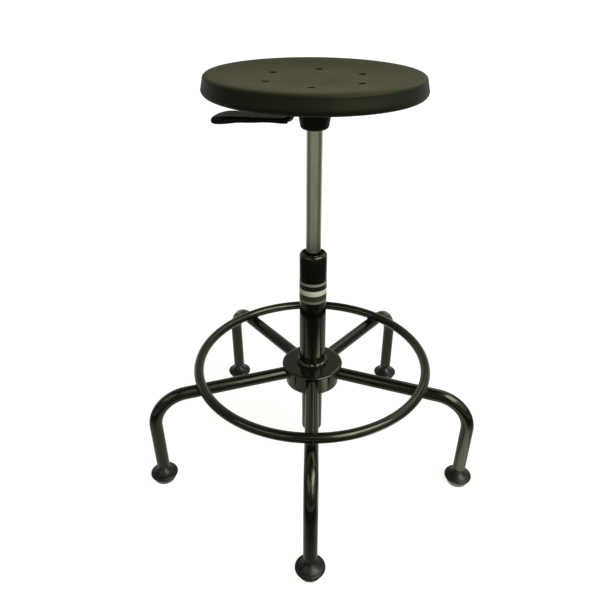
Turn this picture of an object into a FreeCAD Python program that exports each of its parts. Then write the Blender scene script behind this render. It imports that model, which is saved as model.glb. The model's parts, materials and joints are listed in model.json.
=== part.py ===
import FreeCAD, Part
import math
import os

# Machinist stool: round moulded seat on a gas column, five bent tube legs and a foot ring.
# Millimetres, +Z up, origin on the floor under the column, front leg towards -Y.

V = FreeCAD.Vector
os.makedirs("parts", exist_ok=True)

# Base legs
LEG_COUNT = 5
FRONT_LEG_AZIMUTH = -90.0
LEG_DIAMETER = 25.4
LEG_WALL = 2.0
LEG_AXIS_HEIGHT = 216.0
LEG_DROOP = 1.55
LEG_RAKE = 1.35
LEG_BEND_RADIUS = 66.6
LEG_END_HEIGHT = 37.0
FOOT_CIRCLE_RADIUS = 323.0

# Floor glides
GLIDE_RADIUS = 27.5
GLIDE_FOOT_RADIUS = 21.0
GLIDE_HEIGHT = 29.0
GLIDE_RIM_HEIGHT = 15.0
GLIDE_NECK_RADIUS = 6.5
PLUG_LENGTH = 22.0

# Foot ring
RING_RADIUS = 231.0
RING_DIAMETER = 19.0
RING_WALL = 1.6
RING_GAP = 0.3
RING_WELD_RADIUS = 8.0

# Hub
HUB_RADIUS = 54.0
HUB_WALL = 6.0
HUB_DEPTH = 30.0
HUB_FLOOR_THICKNESS = 4.0
HUB_CAP_RADIUS = 61.5
HUB_CAP_THICKNESS = 5.0
HUB_CAP_EDGE = 3.8
HUB_CAP_GAP = 0.05
COLUMN_WELD_WIDTH = 7.0
COLUMN_WELD_HEIGHT = 10.0

# Outer column tube
COLUMN_RADIUS = 26.0
COLUMN_WALL = 2.0
COLUMN_TOP = 479.5
COLUMN_RIM_ROLL = 5.6
TAIL_RADIUS = 21.2
TAIL_BOTTOM = 60.0
TAIL_CHAMFER = 3.0
SWAGE_HEIGHT = 7.0
LABEL_DROP = 62.5
LABEL_HEIGHT = 40.0
LABEL_THICKNESS = 0.25
BUSH_LENGTH = 96.0
BUSH_RECESS = 3.0
BUSH_CHAMFER = 3.5

# Column floor and thrust bearing
TAIL_RECESS = 7.0
COLUMN_FLOOR_THICKNESS = 3.5
RACE_THICKNESS = 2.0
RACE_OUTER_RADIUS = 14.0
RACE_INNER_RADIUS = 6.0
BALL_RADIUS = 2.0
BALL_CIRCLE_RADIUS = 10.0
BALL_COUNT = 8
CAGE_THICKNESS = 1.0
CAGE_MARGIN = 3.0
CAGE_PLAY = 0.15

# Spindle
ROD_RADIUS = 5.0
ROD_TAIL = 4.0
ROD_SHOULDER_RADIUS = 9.0
ROD_SHOULDER_HEIGHT = 3.5
PISTON_HEIGHT = 12.0
PISTON_NUT_RADIUS = 7.0
PISTON_NUT_HEIGHT = 3.0
CLIP_THICKNESS = 1.4
CLIP_RADIUS = 9.0
CLIP_GAP = 0.3
CLIP_SLOT = 4.0
BUMP_RADIUS = 15.5
BUMP_GAP = 1.0

# Pressure tube, the bright tube that rises with the seat
TUBE_RADIUS = 14.0
TUBE_WALL = 2.0
SEAT_TRAVEL = 200.0
TUBE_INSERTION = 172.5
PISTON_REST_GAP = 2.0
TUBE_PLUG_HEIGHT = 18.0
VALVE_HEIGHT = 60.0
TAPER_LENGTH = 36.0
TAPER_NARROWING = 0.9
PIN_RADIUS = 2.6
PIN_LENGTH = 36.0
PIN_STICKOUT = 7.0

# Seat heights at the top of the travel
SEAT_BOTTOM = 765.0
SEAT_THICKNESS = 31.2
SEAT_RADIUS = 184.2
SEAT_LEAN = 3.6
SEAT_EDGE_RADIUS = 9.0
SEAT_RIM_ROLL = 6.6
DISH_DEPTH = 9.0
VENT_COUNT = 6
VENT_CIRCLE_RADIUS = 86.8
VENT_RADIUS = 4.8
VENT_MOUTH = 2.2
VENT_START_ANGLE = 86.0
BOARD_RADIUS = 150.0
BOARD_THICKNESS = 10.0

# Seat plate and release housing
PLATE_SIZE = 170.0
PLATE_CORNER = 22.0
PLATE_THICKNESS = 3.0
SCREW_SPACING = 130.0
SCREW_RADIUS = 4.0
SCREW_HEAD_RADIUS = 7.4
SCREW_HEAD_HEIGHT = 5.3
SCREW_REACH = 9.5
HOUSING_LENGTH = 100.0
HOUSING_WIDTH = 56.0
HOUSING_HEIGHT = 29.0
HOUSING_WALL = 3.0
HOUSING_FLANGE = 12.0
WEB_START = -24.0

# Taper socket and its collar
SOCKET_RADIUS = 18.0
SOCKET_LENGTH = 37.0
SOCKET_TOP_GAP = 2.0
COLLAR_RADIUS = 28.0
COLLAR_TAPER = 3.0
COLLAR_HEIGHT = 26.4
COLLAR_ROUND = 8.0
COLLAR_MOUTH_GAP = 0.6

# Release lever
LEVER_REACH = 171.5
LEVER_PIVOT_X = 36.0
LEVER_PIVOT_DROP = 20.0
ARM_WIDTH = 16.0
ARM_THICKNESS = 4.5
ARM_BEND_RADIUS = 9.0
ARM_DROP = 23.5
ARM_NOSE = 7.0
ARM_PIN_GAP = 0.4
ARM_GRIP_REACH = 84.0
BOSS_RADIUS = 6.2
PIVOT_RADIUS = 3.0
PIVOT_HEAD_RADIUS = 5.0
PIVOT_HEAD_THICKNESS = 1.6
GRIP_THICKNESS = 10.5
GRIP_FRONT = 17.0
GRIP_BACK = 38.5

# Fits
RUNNING_FIT = 0.05
RACE_PLAY = 0.03


def export(name, solids):
    """Write one node from one solid or a list of solids."""
    if not isinstance(solids, (list, tuple)):
        solids = [solids]
    kept = []
    for item in solids:
        kept.extend(item.Solids)
    shape = kept[0] if len(kept) == 1 else Part.makeCompound(kept)
    if not shape.isValid():
        raise ValueError("invalid shape " + name)
    shape.exportStep("parts/" + name + ".step")
    print(name, len(kept), "solids", round(shape.Volume), "mm3")
    return shape


def turned(edges):
    """Revolve a closed half profile, given as edges in the XZ plane, about Z."""
    wire = Part.Wire(Part.__sortEdges__(edges))
    return Part.Face(wire).revolve(V(0, 0, 0), V(0, 0, 1), 360)


def turned_points(points):
    """Revolve a closed polygon of (radius, height) points about Z."""
    corners = [V(r, 0, z) for r, z in points]
    return Part.Face(Part.makePolygon(corners + [corners[0]])).revolve(V(0, 0, 0), V(0, 0, 1), 360)


def line(a, b):
    """Straight edge between two (radius, height) points."""
    return Part.makeLine(V(a[0], 0, a[1]), V(b[0], 0, b[1]))


def arc(a, m, b):
    """Arc through three (radius, height) points."""
    return Part.Arc(V(a[0], 0, a[1]), V(m[0], 0, m[1]), V(b[0], 0, b[1])).toShape()


def ring(outer, inner, bottom, top):
    """Plain round washer or sleeve."""
    body = Part.makeCylinder(outer, top - bottom, V(0, 0, bottom))
    return body.cut(Part.makeCylinder(inner, top - bottom + 2, V(0, 0, bottom - 1)))


def spin(shape, angle):
    """Copy of a shape turned about the column's axis."""
    copy = shape.copy()
    copy.rotate(V(0, 0, 0), V(0, 0, 1), angle)
    return copy


def leg_height(radius):
    """Height of a leg's centreline in its upper run."""
    return LEG_AXIS_HEIGHT - math.tan(math.radians(LEG_DROOP)) * radius


def leg_top(radius):
    """Height of the top of a leg's upper run."""
    return leg_height(radius) + LEG_DIAMETER / 2 / math.cos(math.radians(LEG_DROOP))


# Heights that follow from the sizes above
HUB_BOTTOM = LEG_AXIS_HEIGHT - HUB_DEPTH
HUB_CAP_BOTTOM = leg_top(COLUMN_RADIUS) + HUB_CAP_GAP
HUB_CAP_TOP = HUB_CAP_BOTTOM + HUB_CAP_THICKNESS
RING_HEIGHT = leg_top(RING_RADIUS) + RING_GAP + RING_DIAMETER / 2
COLUMN_FLOOR_BOTTOM = TAIL_BOTTOM + TAIL_RECESS
COLUMN_FLOOR_TOP = COLUMN_FLOOR_BOTTOM + COLUMN_FLOOR_THICKNESS
LOWER_RACE_TOP = COLUMN_FLOOR_TOP + RACE_THICKNESS
UPPER_RACE_BOTTOM = LOWER_RACE_TOP + 2 * BALL_RADIUS + RACE_PLAY
UPPER_RACE_TOP = UPPER_RACE_BOTTOM + RACE_THICKNESS
SHOULDER_TOP = UPPER_RACE_TOP + ROD_SHOULDER_HEIGHT
TUBE_BOTTOM = COLUMN_TOP - TUBE_INSERTION
LABEL_TOP = COLUMN_TOP - LABEL_DROP
BUMP_TOP = TUBE_BOTTOM - SEAT_TRAVEL - BUMP_GAP
PISTON_BOTTOM = TUBE_BOTTOM + TUBE_PLUG_HEIGHT + PISTON_REST_GAP
PISTON_TOP = PISTON_BOTTOM + PISTON_HEIGHT
PLATE_BOTTOM = SEAT_BOTTOM - PLATE_THICKNESS
HOUSING_BOTTOM = PLATE_BOTTOM - HOUSING_HEIGHT
ARM_TOP_AXIS = PLATE_BOTTOM - 0.8 - ARM_THICKNESS / 2
PIN_TOP = ARM_TOP_AXIS - ARM_THICKNESS / 2 - ARM_PIN_GAP
TUBE_TOP = PIN_TOP - PIN_STICKOUT
SOCKET_TOP = TUBE_TOP - SOCKET_TOP_GAP
COLLAR_TOP = HOUSING_BOTTOM
COLLAR_BOTTOM = COLLAR_TOP - COLLAR_HEIGHT
PIVOT_Z = SEAT_BOTTOM - LEVER_PIVOT_DROP
ARM_LOW_AXIS = PIVOT_Z - ARM_DROP


def leg_path(inner_radius):
    """Centreline of one leg along +X: upper run, bend and raked foot."""
    droop = math.radians(LEG_DROOP)
    rake = math.radians(LEG_RAKE)
    start = V(inner_radius, 0, leg_height(inner_radius))
    along = V(math.cos(droop), 0, -math.sin(droop))
    down = V(-math.sin(rake), 0, -math.cos(rake))
    foot = V(FOOT_CIRCLE_RADIUS + math.tan(rake) * (LEG_END_HEIGHT - GLIDE_RIM_HEIGHT), 0, LEG_END_HEIGHT)
    # The corner where the two straight runs would meet
    t = ((foot.x - start.x) * down.z - (foot.z - start.z) * down.x) / (along.x * down.z - along.z * down.x)
    corner = start + along * t
    turn = math.acos(along.dot(down))
    trim = LEG_BEND_RADIUS * math.tan(turn / 2)
    bend_in = corner - along * trim
    bend_out = corner + down * trim
    inward = (down - along).normalize()
    centre = corner + inward * (LEG_BEND_RADIUS / math.cos(turn / 2))
    middle = centre - inward * LEG_BEND_RADIUS
    bend = Part.Arc(bend_in, middle, bend_out).toShape()
    wire = Part.Wire([Part.makeLine(start, bend_in), bend, Part.makeLine(bend_out, foot)])
    return wire, start, along, foot, down


def leg_tube(inner_radius, radius):
    """Round bar along the leg's centreline."""
    wire, start, along, foot, down = leg_path(inner_radius)
    section = Part.Wire([Part.makeCircle(radius, start, along)])
    return wire.makePipeShell([section], True, False)


def column_shaft(radius):
    """Plain cylinder on the column's axis, used to cope what meets the column."""
    return Part.makeCylinder(radius, COLUMN_TOP)


def make_leg():
    """One bent tube, coped to the column and open at its foot."""
    outer = leg_tube(0.5 * COLUMN_RADIUS, LEG_DIAMETER / 2)
    inner = leg_tube(0.45 * COLUMN_RADIUS, LEG_DIAMETER / 2 - LEG_WALL)
    wire, start, along, foot, down = leg_path(COLUMN_RADIUS)
    inner = inner.fuse(Part.makeCylinder(LEG_DIAMETER / 2 - LEG_WALL, 2, foot, down))
    return outer.cut(inner).cut(column_shaft(COLUMN_RADIUS))


def make_plug():
    """Moulded plug in the foot of one leg."""
    wire, start, along, foot, down = leg_path(COLUMN_RADIUS)
    return Part.makeCylinder(LEG_DIAMETER / 2 - LEG_WALL, PLUG_LENGTH, foot, down * -1)


def make_glide():
    """Mushroom glide under one leg, standing upright on the floor."""
    low = 1.2
    rim = GLIDE_RIM_HEIGHT
    foot = GLIDE_FOOT_RADIUS
    wide = GLIDE_RADIUS
    neck = GLIDE_NECK_RADIUS
    top = GLIDE_HEIGHT
    shoulder = (wide - 2.2, rim + 3.6)
    edges = [line((0, 0), (foot - low, 0))]
    edges.append(arc((foot - low, 0), (foot - 0.3 * low, 0.3 * low), (foot, low)))
    edges.append(line((foot, low), (wide - 0.6, rim - 2.0)))
    edges.append(arc((wide - 0.6, rim - 2.0), (wide, rim + 0.4), shoulder))
    edges.append(arc(shoulder, (0.55 * wide, 0.42 * (rim + 3.6) + 0.58 * top - 1.3), (neck, top + 3.0)))
    edges.append(line((neck, top + 3.0), (neck, LEG_END_HEIGHT + 2)))
    edges.append(line((neck, LEG_END_HEIGHT + 2), (0, LEG_END_HEIGHT + 2)))
    edges.append(line((0, LEG_END_HEIGHT + 2), (0, 0)))
    body = turned(edges)
    wire, start, along, end, down = leg_path(COLUMN_RADIUS)
    body.translate(V(end.x, 0, 0))
    above = Part.makeCylinder(GLIDE_RADIUS, LEG_END_HEIGHT, end, down * -1)
    return body.cut(above)


def make_foot_ring():
    """Hoop of round tube lying on the legs."""
    tube = RING_DIAMETER / 2
    centre = V(0, 0, RING_HEIGHT)
    hoop = Part.makeTorus(RING_RADIUS, tube, centre)
    return hoop.cut(Part.makeTorus(RING_RADIUS, tube - RING_WALL, centre))


def make_ring_weld(leg_bar):
    """Weld bead between the ring and one leg."""
    centre = V(RING_RADIUS, 0, leg_top(RING_RADIUS) + RING_GAP / 2)
    bead = Part.makeSphere(RING_WELD_RADIUS, centre)
    hoop = Part.makeTorus(RING_RADIUS, RING_DIAMETER / 2, V(0, 0, RING_HEIGHT))
    return bead.cut(leg_bar).cut(hoop)


def make_notch():
    """Open-topped cut that lets one leg through the drum's wall."""
    wire, start, along, foot, down = leg_path(HUB_RADIUS - HUB_WALL - 6)
    droop = math.radians(LEG_DROOP)
    up = V(math.sin(droop), 0, math.cos(droop))
    half = V(0, LEG_DIAMETER / 2, 0)
    rise = up * LEG_DIAMETER
    edges = [Part.Arc(start - half, start - up * (LEG_DIAMETER / 2), start + half).toShape(),
             Part.makeLine(start + half, start + half + rise),
             Part.makeLine(start + half + rise, start - half + rise),
             Part.makeLine(start - half + rise, start - half)]
    return Part.Face(Part.Wire(edges)).extrude(along * (HUB_WALL + 12))


def make_hub_collar():
    """Drum with a notch for each leg."""
    body = ring(HUB_RADIUS, HUB_RADIUS - HUB_WALL, HUB_BOTTOM, HUB_CAP_BOTTOM)
    edge = [e for e in body.Edges if abs(e.BoundBox.ZMax - HUB_BOTTOM) < 1e-6
            and abs(e.BoundBox.XMax - HUB_RADIUS) < 1e-6]
    body = body.makeChamfer(1.5, edge)
    notch = make_notch()
    for number in range(LEG_COUNT):
        body = body.cut(spin(notch, FRONT_LEG_AZIMUTH + number * 360.0 / LEG_COUNT))
    return body


def make_hub_cap():
    """Round cap with a rolled upper edge, open for the column."""
    edge = HUB_CAP_EDGE
    side = (HUB_CAP_RADIUS, HUB_CAP_TOP - edge)
    crest = (HUB_CAP_RADIUS - edge, HUB_CAP_TOP)
    bulge = (HUB_CAP_RADIUS - edge * (1 - math.sqrt(0.5)), HUB_CAP_TOP - edge * (1 - math.sqrt(0.5)))
    edges = [line((COLUMN_RADIUS, HUB_CAP_BOTTOM), (HUB_CAP_RADIUS, HUB_CAP_BOTTOM))]
    edges.append(line((HUB_CAP_RADIUS, HUB_CAP_BOTTOM), side))
    edges.append(arc(side, bulge, crest))
    edges.append(line(crest, (COLUMN_RADIUS, HUB_CAP_TOP)))
    edges.append(line((COLUMN_RADIUS, HUB_CAP_TOP), (COLUMN_RADIUS, HUB_CAP_BOTTOM)))
    return turned(edges)


def make_column_weld():
    """Rounded bead where the column leaves the hub cap."""
    foot = (COLUMN_RADIUS + COLUMN_WELD_WIDTH, HUB_CAP_TOP)
    head = (COLUMN_RADIUS, HUB_CAP_TOP + COLUMN_WELD_HEIGHT)
    swell = (COLUMN_RADIUS + 0.62 * COLUMN_WELD_WIDTH, HUB_CAP_TOP + 0.62 * COLUMN_WELD_HEIGHT)
    edges = [line((COLUMN_RADIUS, HUB_CAP_TOP), foot)]
    edges.append(arc(foot, swell, head))
    edges.append(line(head, (COLUMN_RADIUS, HUB_CAP_TOP)))
    return turned(edges)


def make_column_tube():
    """Outer tube: rolled mouth, straight body, drawn-down tail."""
    roll = COLUMN_RIM_ROLL
    inner = COLUMN_RADIUS - COLUMN_WALL
    small = roll - COLUMN_WALL
    lip = COLUMN_RADIUS - roll
    swage_low = HUB_BOTTOM + HUB_FLOOR_THICKNESS + 1
    swage_high = swage_low + SWAGE_HEIGHT
    tail_inner = TAIL_RADIUS - COLUMN_WALL
    diag = math.sqrt(0.5)
    edges = [arc((COLUMN_RADIUS, COLUMN_TOP - roll),
                 (lip + roll * diag, COLUMN_TOP - roll + roll * diag), (lip, COLUMN_TOP))]
    edges.append(line((lip, COLUMN_TOP), (lip, COLUMN_TOP - COLUMN_WALL)))
    edges.append(arc((lip, COLUMN_TOP - COLUMN_WALL),
                     (lip + small * diag, COLUMN_TOP - roll + small * diag), (inner, COLUMN_TOP - roll)))
    edges.append(line((inner, COLUMN_TOP - roll), (inner, swage_high)))
    edges.append(line((inner, swage_high), (tail_inner, swage_low)))
    edges.append(line((tail_inner, swage_low), (tail_inner, TAIL_BOTTOM + TAIL_CHAMFER)))
    edges.append(line((tail_inner, TAIL_BOTTOM + TAIL_CHAMFER), (TAIL_RADIUS - TAIL_CHAMFER, TAIL_BOTTOM)))
    edges.append(line((TAIL_RADIUS - TAIL_CHAMFER, TAIL_BOTTOM), (TAIL_RADIUS - 0.6, TAIL_BOTTOM + 1.6)))
    edges.append(line((TAIL_RADIUS - 0.6, TAIL_BOTTOM + 1.6), (TAIL_RADIUS, TAIL_BOTTOM + TAIL_CHAMFER + 1)))
    edges.append(line((TAIL_RADIUS, TAIL_BOTTOM + TAIL_CHAMFER + 1), (TAIL_RADIUS, swage_low)))
    edges.append(line((TAIL_RADIUS, swage_low), (COLUMN_RADIUS, swage_high)))
    edges.append(line((COLUMN_RADIUS, swage_high), (COLUMN_RADIUS, COLUMN_TOP - roll)))
    return turned(edges)


def make_guide_bush():
    """Long plastic bush in the column's mouth that guides the pressure tube."""
    outer = COLUMN_RADIUS - COLUMN_WALL
    bore = TUBE_RADIUS + RUNNING_FIT
    top = COLUMN_TOP - BUSH_RECESS
    bottom = top - BUSH_LENGTH
    chamfer = BUSH_CHAMFER
    return turned_points([(bore, bottom), (outer, bottom), (outer, top - chamfer),
                          (outer - chamfer, top), (bore + 0.6, top), (bore, top - 0.6)])


def make_ball_cage():
    """Flat cage with one hole per ball."""
    middle = LOWER_RACE_TOP + BALL_RADIUS
    cage = ring(BALL_CIRCLE_RADIUS + CAGE_MARGIN, BALL_CIRCLE_RADIUS - CAGE_MARGIN,
                middle - CAGE_THICKNESS / 2, middle + CAGE_THICKNESS / 2)
    for centre in ball_centres():
        cage = cage.cut(Part.makeCylinder(BALL_RADIUS + CAGE_PLAY, 4 * BALL_RADIUS,
                                          centre - V(0, 0, 2 * BALL_RADIUS)))
    return cage


def ball_centres():
    """Centres of the thrust balls."""
    middle = LOWER_RACE_TOP + BALL_RADIUS
    points = []
    for number in range(BALL_COUNT):
        angle = 2 * math.pi * number / BALL_COUNT
        points.append(V(BALL_CIRCLE_RADIUS * math.cos(angle), BALL_CIRCLE_RADIUS * math.sin(angle), middle))
    return points


def make_column_floor():
    """Plate across the tail that carries the thrust bearing."""
    tail_inner = TAIL_RADIUS - COLUMN_WALL
    return ring(tail_inner, ROD_RADIUS + 0.5, COLUMN_FLOOR_BOTTOM, COLUMN_FLOOR_TOP)


def make_piston_rod():
    """Rod with its shoulder, clip groove and chamfered tail."""
    clip_top = COLUMN_FLOOR_BOTTOM - CLIP_GAP
    clip_bottom = clip_top - CLIP_THICKNESS
    end = clip_bottom - ROD_TAIL + 1.0
    groove = ROD_RADIUS - 0.8
    return turned_points([(0, end), (ROD_RADIUS - 1, end), (ROD_RADIUS, end + 1),
                          (ROD_RADIUS, clip_bottom), (groove, clip_bottom), (groove, clip_top),
                          (ROD_RADIUS, clip_top), (ROD_RADIUS, UPPER_RACE_TOP),
                          (ROD_SHOULDER_RADIUS, UPPER_RACE_TOP), (ROD_SHOULDER_RADIUS, SHOULDER_TOP),
                          (ROD_RADIUS, SHOULDER_TOP), (ROD_RADIUS, PISTON_TOP),
                          (PISTON_NUT_RADIUS, PISTON_TOP), (PISTON_NUT_RADIUS, PISTON_TOP + PISTON_NUT_HEIGHT),
                          (0, PISTON_TOP + PISTON_NUT_HEIGHT)])


def make_clip():
    """Open retaining clip in the rod's groove, under the column floor."""
    clip_top = COLUMN_FLOOR_BOTTOM - CLIP_GAP
    clip = ring(CLIP_RADIUS, ROD_RADIUS - 0.8, clip_top - CLIP_THICKNESS, clip_top)
    slot = Part.makeBox(CLIP_RADIUS + 2, CLIP_SLOT, CLIP_THICKNESS + 2,
                        V(0, -CLIP_SLOT / 2, clip_top - CLIP_THICKNESS - 1))
    return clip.cut(slot)


def make_piston():
    """Piston with two seal grooves."""
    outer = TUBE_RADIUS - TUBE_WALL - RUNNING_FIT
    groove = outer - 1.2
    low = PISTON_BOTTOM
    step = PISTON_HEIGHT / 5
    return turned_points([(ROD_RADIUS, low), (outer, low), (outer, low + step), (groove, low + step),
                          (groove, low + 2 * step), (outer, low + 2 * step), (outer, low + 3 * step),
                          (groove, low + 3 * step), (groove, low + 4 * step), (outer, low + 4 * step),
                          (outer, PISTON_TOP), (ROD_RADIUS, PISTON_TOP)])


def make_bump_stop():
    """Rubber stop on the rod's shoulder with a waist."""
    inner = ROD_RADIUS + 0.3
    waist = BUMP_RADIUS - 3
    low = SHOULDER_TOP
    middle = (low + BUMP_TOP) / 2
    edges = [line((inner, low), (waist, low))]
    edges.append(line((waist, low), (BUMP_RADIUS, low + 3)))
    edges.append(line((BUMP_RADIUS, low + 3), (BUMP_RADIUS, middle - 4)))
    edges.append(arc((BUMP_RADIUS, middle - 4), (waist, middle), (BUMP_RADIUS, middle + 4)))
    edges.append(line((BUMP_RADIUS, middle + 4), (BUMP_RADIUS, BUMP_TOP - 3)))
    edges.append(line((BUMP_RADIUS, BUMP_TOP - 3), (waist, BUMP_TOP)))
    edges.append(line((waist, BUMP_TOP), (inner, BUMP_TOP)))
    edges.append(line((inner, BUMP_TOP), (inner, low)))
    return turned(edges)


def tube_taper_radius():
    """Radius of the pressure tube at its tapered top."""
    return TUBE_RADIUS - TAPER_NARROWING


def make_pressure_tube():
    """Bright tube with its tapered top."""
    bore = TUBE_RADIUS - TUBE_WALL
    taper_low = TUBE_TOP - TAPER_LENGTH
    return turned_points([(bore, TUBE_BOTTOM), (TUBE_RADIUS - 0.8, TUBE_BOTTOM), (TUBE_RADIUS, TUBE_BOTTOM + 0.8),
                          (TUBE_RADIUS, taper_low), (tube_taper_radius(), TUBE_TOP), (bore, TUBE_TOP)])


def make_valve_body():
    """Valve block in the top of the pressure tube with the pin's bore."""
    bore = TUBE_RADIUS - TUBE_WALL
    body = Part.makeCylinder(bore, VALVE_HEIGHT, V(0, 0, TUBE_TOP - VALVE_HEIGHT))
    depth = PIN_LENGTH - PIN_STICKOUT + 6
    return body.cut(Part.makeCylinder(PIN_RADIUS + RUNNING_FIT, depth + 1, V(0, 0, TUBE_TOP - depth)))


def make_valve_pin():
    """Release pin with a chamfered head."""
    bottom = PIN_TOP - PIN_LENGTH
    return turned_points([(0, bottom), (PIN_RADIUS, bottom), (PIN_RADIUS, PIN_TOP - 1.2),
                          (PIN_RADIUS - 1.2, PIN_TOP), (0, PIN_TOP)])


def make_taper_socket():
    """Steel socket that grips the pressure tube's taper."""
    low = SOCKET_TOP - SOCKET_LENGTH
    taper_low = TUBE_TOP - TAPER_LENGTH
    slope = TAPER_NARROWING / TAPER_LENGTH
    top_bore = TUBE_RADIUS - slope * (SOCKET_TOP - taper_low)
    return turned_points([(TUBE_RADIUS + 0.2, low), (SOCKET_RADIUS, low), (SOCKET_RADIUS, SOCKET_TOP),
                          (top_bore, SOCKET_TOP), (TUBE_RADIUS, taper_low), (TUBE_RADIUS + 0.2, taper_low - 0.2)])


def make_socket_collar():
    """Moulded cup round the socket: tapered side and rounded foot."""
    mouth = TUBE_RADIUS + COLLAR_MOUTH_GAP
    low = COLLAR_BOTTOM
    socket_low = SOCKET_TOP - SOCKET_LENGTH
    narrow = COLLAR_RADIUS - COLLAR_TAPER
    inset = COLLAR_ROUND * (1 - math.sqrt(0.5))
    side = (narrow, low + COLLAR_ROUND)
    foot = (narrow - COLLAR_ROUND, low)
    edges = [line((mouth, low), foot), arc(foot, (narrow - inset, low + inset), side)]
    edges.append(line(side, (COLLAR_RADIUS, COLLAR_TOP)))
    edges.append(line((COLLAR_RADIUS, COLLAR_TOP), (SOCKET_RADIUS, COLLAR_TOP)))
    edges.append(line((SOCKET_RADIUS, COLLAR_TOP), (SOCKET_RADIUS, socket_low)))
    edges.append(line((SOCKET_RADIUS, socket_low), (mouth, socket_low)))
    edges.append(line((mouth, socket_low), (mouth, low)))
    return turned(edges)


def make_release_housing():
    """Folded channel under the seat plate: web, two walls and two flanges."""
    half = HOUSING_LENGTH / 2
    wide = HOUSING_WIDTH / 2
    wall = HOUSING_WALL
    web = Part.makeBox(half - WEB_START, HOUSING_WIDTH, wall, V(WEB_START, -wide, HOUSING_BOTTOM))
    body = web
    for side in (-1, 1):
        face = min(side * wide, side * (wide - wall))
        body = body.fuse(Part.makeBox(HOUSING_LENGTH, wall, HOUSING_HEIGHT, V(-half, face, HOUSING_BOTTOM)))
        flange = min(side * wide, side * (wide + HOUSING_FLANGE))
        body = body.fuse(Part.makeBox(HOUSING_LENGTH, HOUSING_FLANGE, wall, V(-half, flange, PLATE_BOTTOM - wall)))
    body = body.removeSplitter()
    body = body.cut(Part.makeCylinder(SOCKET_RADIUS, 4 * wall, V(0, 0, HOUSING_BOTTOM - wall)))
    pivot = Part.makeCylinder(PIVOT_RADIUS, 4 * wide, V(-LEVER_PIVOT_X, -2 * wide, PIVOT_Z), V(0, 1, 0))
    return body.cut(pivot)


def screw_places():
    """Centres of the four seat screws."""
    half = SCREW_SPACING / 2
    return [(x, y) for x in (-half, half) for y in (-half, half)]


def make_seat_plate():
    """Flat plate with rounded corners and four screw holes."""
    half = PLATE_SIZE / 2
    plate = Part.makeBox(PLATE_SIZE, PLATE_SIZE, PLATE_THICKNESS, V(-half, -half, PLATE_BOTTOM))
    upright = [e for e in plate.Edges if abs(e.BoundBox.ZLength - PLATE_THICKNESS) < 1e-6]
    plate = plate.makeFillet(PLATE_CORNER, upright)
    for x, y in screw_places():
        plate = plate.cut(Part.makeCylinder(SCREW_RADIUS, 3 * PLATE_THICKNESS, V(x, y, PLATE_BOTTOM - PLATE_THICKNESS)))
    return plate


def make_screw(x, y):
    """Hexagon-headed screw up into the seat board."""
    corners = []
    for number in range(7):
        angle = math.radians(60 * number)
        corners.append(V(x + SCREW_HEAD_RADIUS * math.cos(angle), y + SCREW_HEAD_RADIUS * math.sin(angle),
                         PLATE_BOTTOM - SCREW_HEAD_HEIGHT))
    head = Part.Face(Part.makePolygon(corners)).extrude(V(0, 0, SCREW_HEAD_HEIGHT))
    return head.fuse(Part.makeCylinder(SCREW_RADIUS, PLATE_THICKNESS + SCREW_REACH, V(x, y, PLATE_BOTTOM)))


def make_seat_board():
    """Round insert that the screws bite into."""
    board = Part.makeCylinder(BOARD_RADIUS, BOARD_THICKNESS, V(0, 0, SEAT_BOTTOM))
    for x, y in screw_places():
        board = board.cut(Part.makeCylinder(SCREW_RADIUS, SCREW_REACH, V(x, y, SEAT_BOTTOM)))
    return board


def make_seat():
    """Moulded seat: rounded foot, leaning side, rolled rim, dish, vent holes and a recess for the board."""
    low = SEAT_BOTTOM
    crest = low + SEAT_THICKNESS
    edge = SEAT_EDGE_RADIUS
    roll = SEAT_RIM_ROLL
    shoulder = SEAT_RADIUS - SEAT_LEAN
    rim = shoulder - roll
    board_top = low + BOARD_THICKNESS
    floor = crest - DISH_DEPTH
    edge_inset = edge * (1 - math.sqrt(0.5))
    roll_inset = roll * (1 - math.sqrt(0.5))
    edges = [line((BOARD_RADIUS, low), (SEAT_RADIUS - edge, low))]
    edges.append(arc((SEAT_RADIUS - edge, low), (SEAT_RADIUS - edge_inset, low + edge_inset),
                     (SEAT_RADIUS, low + edge)))
    edges.append(line((SEAT_RADIUS, low + edge), (shoulder, crest - roll)))
    edges.append(arc((shoulder, crest - roll), (shoulder - roll_inset, crest - roll_inset), (rim, crest)))
    dish = Part.BSplineCurve()
    heights = [(rim, 0.0), (0.91 * rim, 0.09), (0.80 * rim, 0.31), (0.66 * rim, 0.62), (0.50 * rim, 0.84),
               (0.25 * rim, 0.97), (0, 1.0)]
    points = [V(r, 0, crest - share * DISH_DEPTH) for r, share in heights]
    dish.interpolate(Points=points, InitialTangent=V(-1, 0, 0), FinalTangent=V(-1, 0, 0))
    edges.append(dish.toShape())
    edges.append(line((0, floor), (0, board_top)))
    edges.append(line((0, board_top), (BOARD_RADIUS, board_top)))
    edges.append(line((BOARD_RADIUS, board_top), (BOARD_RADIUS, low)))
    seat = turned(edges)
    for number in range(VENT_COUNT):
        angle = math.radians(VENT_START_ANGLE + number * 360.0 / VENT_COUNT)
        place = V(VENT_CIRCLE_RADIUS * math.cos(angle), VENT_CIRCLE_RADIUS * math.sin(angle), board_top)
        seat = seat.cut(Part.makeCylinder(VENT_RADIUS, SEAT_THICKNESS, place))
    mouths = [e for e in seat.Edges if e.BoundBox.ZMin > floor - 1 and e.BoundBox.DiagonalLength < 4 * VENT_RADIUS
              and e.BoundBox.ZLength < 0.3 * SEAT_THICKNESS and e.BoundBox.XLength > VENT_RADIUS]
    return seat.makeFillet(VENT_MOUTH, mouths)


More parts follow.
